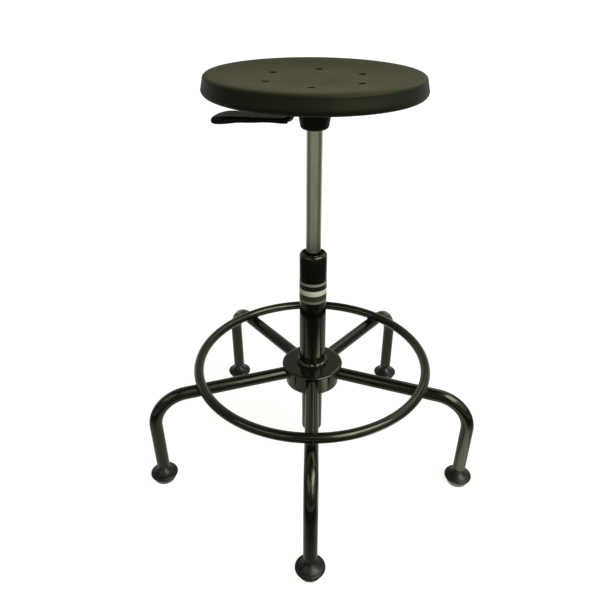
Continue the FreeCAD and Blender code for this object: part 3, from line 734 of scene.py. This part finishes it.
class Maker:
    """Makes every finish once, and places finished pieces on the frame."""

    def __init__(self, label: "LabelBand", seat: "Seat") -> None:
        """Make the materials.

        Args:
            label: the label, for the places of its bands.
            seat: the seat, for the places of its vents.
        """
        finishes = {
            Slot.ENAMEL: Enamel(),
            Slot.GLIDE: Moulding(Slot.GLIDE, (0.0046, 0.0049, 0.0034), roughness=0.27, sheen=0.36),
            Slot.PLASTIC: Moulding(Slot.PLASTIC, (0.0046, 0.0049, 0.0035), roughness=0.40, sheen=0.10),
            Slot.LABEL: LabelFilm(label.bottom, label.top),
            Slot.ZINC: PlatedSteel(Slot.ZINC, (0.52, 0.52, 0.48), roughness=0.30, spangle=0.0030),
            Slot.BEARING: PlatedSteel(Slot.BEARING, (0.60, 0.60, 0.60), roughness=0.16, spangle=0.0008),
            Slot.RUBBER: Rubber(),
            Slot.TUBE: GroundTube(),
            Slot.BOARD: Plywood(),
            Slot.SEAT: SeatSkin(seat.vent_places(), seat.vent_radius + seat.vent_mouth),
        }
        self.materials = {slot: finish.make() for slot, finish in finishes.items()}
        self.pieces = 0

    def dress(self, piece: bpy.types.Object, slot: Slot) -> None:
        """Give a piece its finish.

        Args:
            piece: the object.
            slot: its finish.
        """
        for place in piece.material_slots:
            place.material = self.materials[slot]
        if not piece.material_slots:
            piece.data.materials.append(self.materials[slot])

    def dress_frame(self) -> None:
        """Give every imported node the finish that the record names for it."""
        wanted = {part["node"]: part["material_slot"] for part in frame["record"]["subparts"]}
        for name, node in frame["nodes"].items():
            self.dress(node, Slot(wanted[name]))
            log.info("finish %s on %s", wanted[name], name)

    def place(self, piece: bpy.types.Object, body: Body, slot: Slot, *replaced: str) -> None:
        """Put a piece on its body in its finish.

        Args:
            piece: the object.
            body: the body that it rides on.
            slot: its finish.
            replaced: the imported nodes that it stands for.
        """
        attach(piece, body.value)
        self.dress(piece, slot)
        if replaced:
            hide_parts(*replaced)
        self.pieces += 1
        log.info("piece %s on %s, %d faces", piece.name, body.value, len(piece.data.polygons))


@dataclass
class Seat:
    """Round moulded seat: rounded foot, leaning side, rolled rim, dish and vent holes."""

    board_radius: float = 0.150
    board_thickness: float = 0.010
    lean: float = 0.0036
    foot_round: float = 0.0090
    rim_roll: float = 0.0066
    dish_depth: float = 0.009
    dish_power: float = 2.07
    dish_steps: int = 60
    side_steps: int = 5
    vents: int = 6
    vent_circle: float = 0.0868
    vent_radius: float = 0.0063
    vent_mouth: float = 0.0013
    vent_start: float = 86.0
    vent_sides: int = 32
    cut_below: float = 0.001
    cut_beside: float = 0.0006

    def __post_init__(self) -> None:
        """Read the seat's reach from the frame."""
        low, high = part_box("seat")
        self.bottom = low.z
        self.top = high.z
        self.radius = high.x
        self.rim = self.radius - self.lean - self.rim_roll

    def dish_height(self, radius: float) -> float:
        """Height of the seat's top at a distance from the column's axis."""
        share = 0.5 * (1 + cos(pi * min(radius / self.rim, 1.0) ** self.dish_power))
        return self.top - self.dish_depth * share

    def profile(self) -> list[Point]:
        """Half section from the middle of the top round to the board's recess.

        Returns:
            Points as radius and height.
        """
        reaches = [self.rim * step / self.dish_steps for step in range(self.dish_steps)]
        dish = [(reach, self.dish_height(reach)) for reach in reaches]
        high = self.top - self.rim_roll
        low = self.bottom + self.foot_round
        roll = bow((self.rim, high), (self.rim_roll, self.rim_roll), 90, 0, 14)
        foot = bow((self.radius - self.foot_round, low), (self.foot_round, self.foot_round), 0, -90, 10)
        shares = [step / self.side_steps for step in range(self.side_steps - 1, 0, -1)]
        side = [(self.radius - self.lean * share, low + (high - low) * share) for share in shares]
        recess = self.bottom + self.board_thickness
        under = [(self.board_radius, self.bottom), (self.board_radius, recess), (0.0, recess)]
        return dish + roll + side + foot + under

    def vent_places(self) -> tuple[Point, ...]:
        """Centres of the vent holes, across and along."""
        angles = [radians(self.vent_start + number * 360 / self.vents) for number in range(self.vents)]
        return tuple((self.vent_circle * cos(a), self.vent_circle * sin(a)) for a in angles)

    def vent_cutter(self) -> bpy.types.Object:
        """One cutter for all the vent holes, with rounded mouths.

        Returns:
            The cutter.
        """
        height = self.dish_height(self.vent_circle)
        mouth = self.vent_radius + self.vent_mouth
        wide = mouth + self.cut_beside
        floor = self.bottom + self.board_thickness - self.cut_below
        lip = bow((mouth, height - self.vent_mouth), (-self.vent_mouth, self.vent_mouth), 0, 90, 6)
        outline = [(0.0, floor), (self.vent_radius, floor)] + lip
        outline += [(wide, height + self.cut_beside), (wide, self.top), (0.0, self.top)]
        return Form().turned(outline, self.vent_sides, self.vent_places()).object("vent_cutter")

    def build(self, maker: Maker) -> None:
        """Make the seat.

        Args:
            maker: places the piece.
        """
        piece = Form().turned(self.profile(), TURN_STEPS).object("seat_cushion", SOFT_CREASE)
        carve(piece, self.vent_cutter(), SOFT_CREASE)
        maker.place(piece, Body.SEAT, Slot.SEAT, "seat")


@dataclass
class Welds:
    """Rippled weld beads of the base."""

    legs: int = 5
    front_angle: float = -90.0
    leg_radius: float = 0.0127
    leg_height: float = 0.216
    leg_droop: float = radians(1.55)
    hub_radius: float = 0.054
    bead_radius: float = 0.0021
    bead_steps: int = 96
    bead_from: float = 150.0
    bead_sweep: float = 240.0
    ripple_depth: float = 0.14
    pitch: float = 0.0026
    ring_radius: float = 0.231
    ring_gap: float = 0.0003
    blob_radius: float = 0.0078
    blob_rows: int = 24
    blob_sides: int = 48
    blob_ripples: int = 14
    blob_swell: float = 0.05
    collar_ripples: int = 11
    collar_start: float = 0.6
    collar_swell: float = 0.06
    collar_bulge: Point = (0.90, 0.06)
    collar_steps: int = 24
    collar_sink: float = 0.0004
    collar_bite: float = 0.0002

    def ripple(self, distance: float) -> float:
        """Bead radius at a distance along the bead."""
        return self.bead_radius * torch_ripple(self.ripple_depth, distance / self.pitch)

    def leg_bead(self, azimuth: float) -> list[Vector]:
        """Path round the underside of one leg where it enters the drum.

        Args:
            azimuth: the leg's direction in degrees.

        Returns:
            Points of the path.
        """
        along = Vector((cos(self.leg_droop), 0.0, -sin(self.leg_droop)))
        up = Vector((sin(self.leg_droop), 0.0, cos(self.leg_droop)))
        side = Vector((0.0, 1.0, 0.0))
        turn = azimuth_turn(azimuth)
        path = []
        for step in range(self.bead_steps + 1):
            angle = radians(self.bead_from + self.bead_sweep * step / self.bead_steps)
            rim = (side * cos(angle) + up * sin(angle)) * self.leg_radius
            rim.z += self.leg_height
            reach = sqrt(self.hub_radius ** 2 - rim.y ** 2)
            rim += along * ((reach - rim.x) / along.x)
            path.append(turn @ rim)
        return path

    def ring_blob(self, azimuth: float) -> list[Ring]:
        """Rippled bead between the foot ring and one leg.

        Args:
            azimuth: the leg's direction in degrees.

        Returns:
            Its rings of points.
        """
        leg_top = self.leg_height - tan(self.leg_droop) * self.ring_radius + self.leg_radius
        centre = Vector((self.ring_radius, 0.0, leg_top + self.ring_gap / 2))
        turn = azimuth_turn(azimuth)
        rings = []
        for row in range(1, self.blob_rows):
            lean = pi * row / self.blob_rows
            flat = sin(lean)
            ring = []
            for angle in turn_angles(self.blob_sides):
                swell = 1 + self.blob_swell * cos(self.blob_ripples * angle) * flat ** 2
                ray = polar(flat, angle, cos(lean))
                ring.append(turn @ (centre + ray * (self.blob_radius * swell)))
            rings.append(ring)
        return rings

    def column_bead(self) -> Form:
        """Rippled bead where the column leaves the hub's cap.

        Returns:
            The form.
        """
        low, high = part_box("column_weld")
        inner = column_face(self.collar_bite)
        foot = low.z - self.collar_sink
        width = high.x - inner
        height = high.z - low.z
        arch = bow((inner, low.z), (width, height), 8, 82, 9)
        bulge, swell = self.collar_bulge
        rings = []
        for angle in turn_angles(self.collar_steps * self.collar_ripples):
            wave = cos(self.collar_ripples * angle + self.collar_start)
            crest = 1 - self.collar_swell + self.collar_swell * wave
            section = [(inner, foot), (inner + width * crest, foot)]
            for r, z in arch:
                belly = bulge + swell * sin(pi * (z - low.z) / height)
                section.append((inner + (r - inner) * crest * belly, low.z + (z - low.z) * crest))
            section.append((inner, low.z + height * crest))
            rings.append([polar(r, angle, z) for r, z in section])
        return Form().skin(rings, loop=True)

    def build(self, maker: Maker) -> None:
        """Make the beads.

        Args:
            maker: places the pieces.
        """
        beads = Form()
        blobs = Form()
        for number in range(self.legs):
            azimuth = self.front_angle + number * 360 / self.legs
            beads.bar(pipe_rings(self.leg_bead(azimuth), self.ripple))
            blobs.bar(self.ring_blob(azimuth))
        collar = self.column_bead()
        maker.place(beads.object("leg_weld_beads", WELD_CREASE), Body.BASE, Slot.ENAMEL)
        maker.place(blobs.object("ring_weld_beads", WELD_CREASE), Body.BASE, Slot.ENAMEL, "ring_welds")
        maker.place(collar.object("column_weld_bead", WELD_CREASE), Body.BASE, Slot.ENAMEL, "column_weld")


@dataclass
class HubCap:
    """Flat steel cap of the hub with a rounded edge."""

    edge_round: Point = (0.0085, 0.0038)
    under_round: float = 0.0005
    sag: float = 0.0005
    sag_steps: int = 8
    flat_radius: float = 0.034
    bite: float = 0.0002

    def build(self, maker: Maker) -> None:
        """Make the cap.

        Args:
            maker: places the piece.
        """
        low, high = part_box("hub_cap")
        inner = column_face(self.bite)
        edge, depth = self.edge_round
        under = self.under_round
        rim = high.x - edge
        slope = rim - self.flat_radius
        shares = [step / self.sag_steps for step in range(self.sag_steps + 1)]
        outline = [(inner, high.z)]
        outline += [(self.flat_radius + slope * share, high.z - self.sag * share ** 2) for share in shares]
        outline += bow((rim, high.z - self.sag - depth), (edge, depth), 86, 0, 14)
        outline += bow((high.x - under, low.z + under), (under, under), 0, -90, 5)
        outline += [(inner, low.z), (inner, high.z)]
        piece = Form().turned(outline, TURN_STEPS).object("hub_cap_plate")
        maker.place(piece, Body.BASE, Slot.ENAMEL, "hub_cap")


@dataclass
class LabelBand:
    """Printed film wrapped round the column."""

    raise_top: float = 0.0064
    raise_bottom: float = 0.0038
    edge: float = 0.00008
    bite: float = 0.0001

    def __post_init__(self) -> None:
        """Read the label's place from the frame."""
        low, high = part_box("column_label")
        self.bottom = low.z + self.raise_bottom
        self.top = high.z + self.raise_top
        self.radius = high.x

    def build(self, maker: Maker) -> None:
        """Make the band.

        Args:
            maker: places the piece.
        """
        inner = column_face(self.bite)
        near = self.radius - self.edge
        face = [(self.radius, self.bottom + self.edge), (self.radius, self.top - self.edge)]
        outline = [(inner, self.bottom), (near, self.bottom)] + face
        outline += [(near, self.top), (inner, self.top), (inner, self.bottom)]
        piece = Form().turned(outline, TURN_STEPS).object("label_band")
        maker.place(piece, Body.BASE, Slot.LABEL, "column_label")


@dataclass
class LeverShoulder:
    """Moulded web of the grip in the bend of the arm."""

    half_width: float = 0.0055
    stations: tuple[float, ...] = (-1.0, -0.94, -0.80, 0.80, 0.94, 1.0)
    full_share: float = 0.80
    inset: float = 0.16
    middle: Point = (-0.0455, 0.7275)
    outline: tuple[Point, ...] = (
        (-0.0375, 0.7342), (-0.0393, 0.7340), (-0.0412, 0.7322), (-0.0432, 0.7298), (-0.0462, 0.7274),
        (-0.0505, 0.7257), (-0.0560, 0.7246), (-0.0560, 0.7230), (-0.0450, 0.7230), (-0.0412, 0.7240),
        (-0.0385, 0.7267), (-0.0375, 0.7305))

    def build(self, maker: Maker) -> None:
        """Make the web.

        Args:
            maker: places the piece.
        """
        middle_x, middle_z = self.middle
        rings = []
        for station in self.stations:
            edge = max(0.0, abs(station) - self.full_share) / (1 - self.full_share)
            size = 1 - self.inset * edge ** 2
            rings.append([Vector((middle_x + (x - middle_x) * size, self.half_width * station,
                                  middle_z + (z - middle_z) * size)) for x, z in self.outline])
        maker.place(Form().bar(rings).object("lever_shoulder", SOFT_CREASE), Body.LEVER, Slot.PLASTIC)


@dataclass
class Fixings:
    """Small steel fixings under the seat: screw flanges and crowns, pivot head and snap ring."""

    sides: int = 36
    screw_place: float = 0.065
    flange: Point = (0.0098, 0.0070)
    flange_depth: Point = (0.0012, 0.0026)
    crown: Point = (0.0062, 0.00434)
    crown_height: float = 0.0006
    crown_sink: float = 0.0003
    head_radius: float = 0.0046
    head_height: float = 0.0012
    head_dome: tuple[Point, ...] = ((0.0, 1.0), (0.55, 0.82), (0.88, 0.35))
    head_bite: float = 0.0004
    ring_radius: float = 0.0044
    ring_from: float = 30.0
    ring_sweep: float = 300.0
    ring_steps: int = 40
    ring_wire: float = 0.0007
    skin: float = 0.0001

    def screws(self) -> Form:
        """Flange and crown of the four seat screws.

        Returns:
            The form.
        """
        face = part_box("seat_plate")[0].z
        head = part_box("seat_screws")[0].z
        wide, narrow = self.flange
        shallow, deep = self.flange_depth
        foot, tip = self.crown
        brim = face - deep
        root = head + self.crown_sink
        top = head - self.crown_height
        flange = [(0.0, face), (wide, face), (wide, face - shallow), (narrow, brim), (0.0, brim)]
        crown = [(0.0, root), (foot, root), (foot, head), (tip, top), (0.0, top)]
        sides = (-self.screw_place, self.screw_place)
        form = Form()
        for place in [(x, y) for x in sides for y in sides]:
            form.turned(flange, self.sides, [place]).turned(crown, self.sides, [place])
        return form

    def wire(self, distance: float) -> float:
        """Radius of the snap ring's wire, the same at every distance."""
        return self.ring_wire

    def pivot(self) -> Form:
        """Domed head and snap ring of the lever's pivot pin.

        Returns:
            The form.
        """
        low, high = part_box("pivot_pin")
        middle = (low + high) / 2
        dome = [(r * self.head_radius, z * self.head_height) for r, z in self.head_dome]
        form = Form().turned(dome + [(self.head_radius, -self.skin), (0.0, -self.skin)], self.sides)
        turn = Matrix.Rotation(pi / 2, 3, "X")
        seat = Vector((middle.x, low.y + self.head_bite, middle.z))
        form.points = [turn @ point + seat for point in form.points]
        angles = [radians(self.ring_from + self.ring_sweep * step / self.ring_steps)
                  for step in range(self.ring_steps + 1)]
        path = [Vector((middle.x + self.ring_radius * cos(a), high.y - self.skin,
                        middle.z + self.ring_radius * sin(a))) for a in angles]
        return form.bar(pipe_rings(path, self.wire))

    def build(self, maker: Maker) -> None:
        """Make the fixings, which the maker places."""
        maker.place(self.screws().object("screw_flanges"), Body.SEAT, Slot.ZINC)
        maker.place(self.pivot().object("pivot_head_and_ring"), Body.SEAT, Slot.ZINC)


@dataclass
class RingSeam:
    """Butt weld that closes the foot ring, behind the column."""

    azimuth: float = 90.0
    bead_radius: float = 0.0013
    bead_sink: float = 0.0005
    ripples: int = 16
    ripple_depth: float = 0.10
    steps: int = 192

    def __post_init__(self) -> None:
        """Read the ring's tube from the frame."""
        low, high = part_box("foot_ring")
        self.tube = (high.z - low.z) / 2
        self.reach = high.x - self.tube
        self.level = (high.z + low.z) / 2

    def ripple(self, distance: float) -> float:
        """Bead radius at a distance round the tube."""
        passes = self.ripples * distance / (tau * self.tube)
        return self.bead_radius * torch_ripple(self.ripple_depth, passes)

    def build(self, maker: Maker) -> None:
        """Make the seam.

        Args:
            maker: places the piece.
        """
        turn = azimuth_turn(self.azimuth)
        size = self.tube - self.bead_sink
        path = [turn @ Vector((self.reach + size * cos(a), 0.0, self.level + size * sin(a)))
                for a in turn_angles(self.steps)]
        form = Form().skin(pipe_rings(path, self.ripple, loop=True), loop=True)
        maker.place(form.object("ring_seam", WELD_CREASE), Body.BASE, Slot.ENAMEL)


@dataclass(frozen=True)
class Softbox:
    """A soft lamp, placed by its direction from the stool."""

    name: str
    azimuth: float
    elevation: float
    size: Point
    glow: float
    halo: float
    distance: float = 2.0

    def away(self) -> Vector:
        """Direction from the stool to the lamp."""
        turn, lift = radians(self.azimuth), radians(self.elevation)
        return Vector((cos(lift) * sin(turn), -cos(lift) * cos(turn), sin(lift)))

    def build(self, colour: Colour, aim: float) -> None:
        """Hang the lamp so that it faces the stool.

        Args:
            colour: colour of its light.
            aim: height that it faces.
        """
        away = self.away()
        data = bpy.data.lights.new(self.name, "AREA")
        data.shape = "RECTANGLE"
        data.size, data.size_y = self.size
        data.color = colour
        data.energy = self.glow * pi * self.size[0] * self.size[1]
        lamp = bpy.data.objects.new(self.name, data)
        lamp.location = Vector((0.0, 0.0, aim)) + self.distance * away
        lamp.rotation_euler = (-away).to_track_quat("-Z", "Y").to_euler()
        lamp.visible_camera = False
        bpy.context.scene.collection.objects.link(lamp)


@dataclass(frozen=True)
class StoolCamera:
    """Camera at the photograph's viewing angle."""

    place: Triple = (0.0, -1.018, 0.9538)
    pitch: float = 29.60
    roll: float = 0.0104
    lens: float = 36.03
    sensor: float = 36.0
    shift: Point = (-0.0215, 0.0008)
    clip: Point = (0.05, 200.0)

    def build(self) -> None:
        """Place the camera."""
        data = bpy.data.cameras.new("camera")
        data.lens = self.lens
        data.sensor_width = self.sensor
        data.shift_x, data.shift_y = self.shift
        data.clip_start, data.clip_end = self.clip
        camera = bpy.data.objects.new("camera", data)
        tilt = Matrix.Rotation(radians(90 - self.pitch), 4, "X")
        camera.matrix_world = Matrix.Translation(self.place) @ tilt @ Matrix.Rotation(self.roll, 4, "Z")
        bpy.context.scene.collection.objects.link(camera)
        bpy.context.scene.camera = camera


@dataclass(frozen=True)
class Surround:
    """White surround; in reflections it is a dim room, pale behind the stool."""

    halo_rise: Rise = (0.84, 0.14)
    light: float = 0.22
    front: float = 0.14
    behind: float = 0.36
    behind_rise: Rise = (0.30, 0.45)
    horizon: float = 0.74
    horizon_rise: Rise = (0.26, 0.26)
    overhead: float = 0.05
    overhead_rise: Rise = (0.90, 0.12)

    def build(self, boxes: Sequence[Softbox], light_colour: Colour) -> None:
        """Set up the world.

        Args:
            boxes: the lamps, whose halos show in reflections.
            light_colour: colour of the light.
        """
        bpy.context.scene.world = bpy.data.worlds.new("surround")
        paint = Paint(bpy.context.scene.world)
        seen = paint.seen()
        glossy = paint.ray("Glossy")
        direction = paint.add("ShaderNodeTexCoord", {}, {}, "Generated")
        halo = 0.0
        for box in boxes:
            toward = paint.vector("DOT_PRODUCT", direction, box.away(), output="Value")
            halo = box.halo * toward.above(*self.halo_rise) + halo
        height = paint.part(direction, 2)
        wall = blend(self.behind, self.horizon, 1 - height.above(*self.horizon_rise))
        wall = blend(self.front, wall, paint.part(direction, 1).above(*self.behind_rise))
        room = blend(wall, self.overhead, height.above(*self.overhead_rise))
        unseen = glossy * room + (1 - glossy) * self.light + halo
        sockets = {"Color": paint.tint(seen, light_colour, WHITE), "Strength": seen + (1 - seen) * unseen}
        paint.end("ShaderNodeOutputWorld", paint.add("ShaderNodeBackground", {}, sockets))


@dataclass(frozen=True)
class StudioFloor:
    """Wide pale floor that keeps the stool's shadow; only reflections see its painted glow, a painted pool
    of light and patch near the stool with painted shade in front of it.
    """

    size: float = 60.0
    drop: float = 0.0002
    # Painted glow for reflections: painted pool of light, brighter painted patch, painted shade in front,
    # painted brightness further out.
    painted_light_pool: float = 0.56
    pool_side: float = 0.64
    pool_side_softness: float = 0.24
    pool_front_rise: Rise = (-0.34, 0.13)
    painted_light_patch: float = 2.1
    patch_across: Triple = (0.22, 0.42, 0.05)
    patch_along: Triple = (-0.31, -0.13, 0.04)
    painted_front_shade: float = 0.05
    far_rise: Rise = (1.10, 0.12)
    far_side: float = 0.25
    far_front: float = 0.50
    far_front_rise: Rise = (-0.55, 0.25)
    far_behind: float = 0.95
    far_behind_rise: Rise = (0.45, 0.25)
    seen_near: float = 0.86
    seen_far: float = 1.0
    seen_rise: Rise = (1.9, 0.8)
    paper: Colour = (0.24, 0.24, 0.24)
    fibre: Colour = (0.26, 0.26, 0.26)
    fibre_size: float = 0.004
    roughness: float = 0.9

    def painted_floor_glow(self, paint: Paint) -> Signal:
        """Painted glow of the floor that only reflections see: painted light near and far, painted shade
        in front.

        Args:
            paint: the tree that it is made in.

        Returns:
            The brightness at each place.
        """
        place = paint.place()
        across = paint.part(place, 0)
        along = paint.part(place, 1)
        facing = paint.part(paint.vector("NORMALIZE", place), 1)
        painted_light_patch = across.between(*self.patch_across) * along.between(*self.patch_along)
        painted_light_pool = blend(self.painted_light_pool, self.painted_light_patch, painted_light_patch)
        lit = across.between(-self.pool_side, self.pool_side, self.pool_side_softness)
        # Painted pool of light under and behind the stool, painted shade in front of it and at its sides.
        near = blend(self.painted_front_shade, painted_light_pool, along.above(*self.pool_front_rise) * lit)
        far = (self.far_side + (self.far_front - self.far_side) * (1 - facing.above(*self.far_front_rise))
               + (self.far_behind - self.far_side) * facing.above(*self.far_behind_rise))
        return blend(near, far, paint.radius().above(*self.far_rise))

    def build(self, light_colour: Colour) -> None:
        """Lay the floor.

        Args:
            light_colour: colour of the light.
        """
        half = self.size / 2
        edges = ((-half, -half), (half, -half), (half, half), (-half, half))
        floor = Form([Vector((x, y, -self.drop)) for x, y in edges], [(0, 1, 2, 3)]).object("floor")
        paint = Paint.named("floor_paper")
        seen = paint.seen()
        glossy = paint.ray("Glossy")
        near = blend(self.seen_near, self.seen_far, paint.radius().above(*self.seen_rise))
        painted_floor_glow = paint.vector("MULTIPLY", paint.grey(self.painted_floor_glow(paint)), light_colour)
        paper = paint.tint(paint.noise(self.fibre_size), self.paper, self.fibre)
        floor.data.materials.append(paint.coat({
            "Base Color": paint.tint(glossy, paper, BLACK),
            "Roughness": self.roughness,
            "Specular IOR Level": 0.0,
            # Reflections see the painted glow; the camera sees the pale floor.
            "Emission Color": paint.tint(seen, paint.tint(glossy, BLACK, painted_floor_glow), paint.grey(near)),
            "Emission Strength": 1.0,
        }))


@dataclass
class Studio:
    """Floor, surround, soft lamps and camera."""

    lamp_aim: float = 0.45
    light_colour: Colour = (1.0, 1.0, 0.86)
    boxes: tuple[Softbox, ...] = (
        Softbox("key", 58.0, 46.0, (1.35, 1.05), glow=5.8, halo=1.2),
        Softbox("low_key", 29.0, 31.0, (0.60, 1.05), glow=3.0, halo=0.0),
        Softbox("fill", -46.0, 34.0, (1.70, 1.00), glow=1.05, halo=0.12),
        Softbox("rim", 132.0, 42.0, (1.60, 0.75), glow=0.95, halo=0.0),
    )

    def build(self) -> None:
        """Set up the whole studio."""
        StoolCamera().build()
        for box in self.boxes:
            box.build(self.light_colour, self.lamp_aim)
        Surround().build(self.boxes, self.light_colour)
        StudioFloor().build(self.light_colour)
        bpy.context.scene.view_settings.view_transform = "Standard"
        log.info("studio ready")


def main() -> None:
    """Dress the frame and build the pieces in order."""
    logging.basicConfig(level=logging.INFO, format="%(name)s: %(message)s")
    label = LabelBand()
    seat = Seat()
    maker = Maker(label, seat)
    maker.dress_frame()
    seat.build(maker)
    Welds().build(maker)
    HubCap().build(maker)
    RingSeam().build(maker)
    label.build(maker)
    Fixings().build(maker)
    LeverShoulder().build(maker)
    Studio().build()
    log.info("%d new pieces", maker.pieces)


if __name__ == "__main__":
    main()
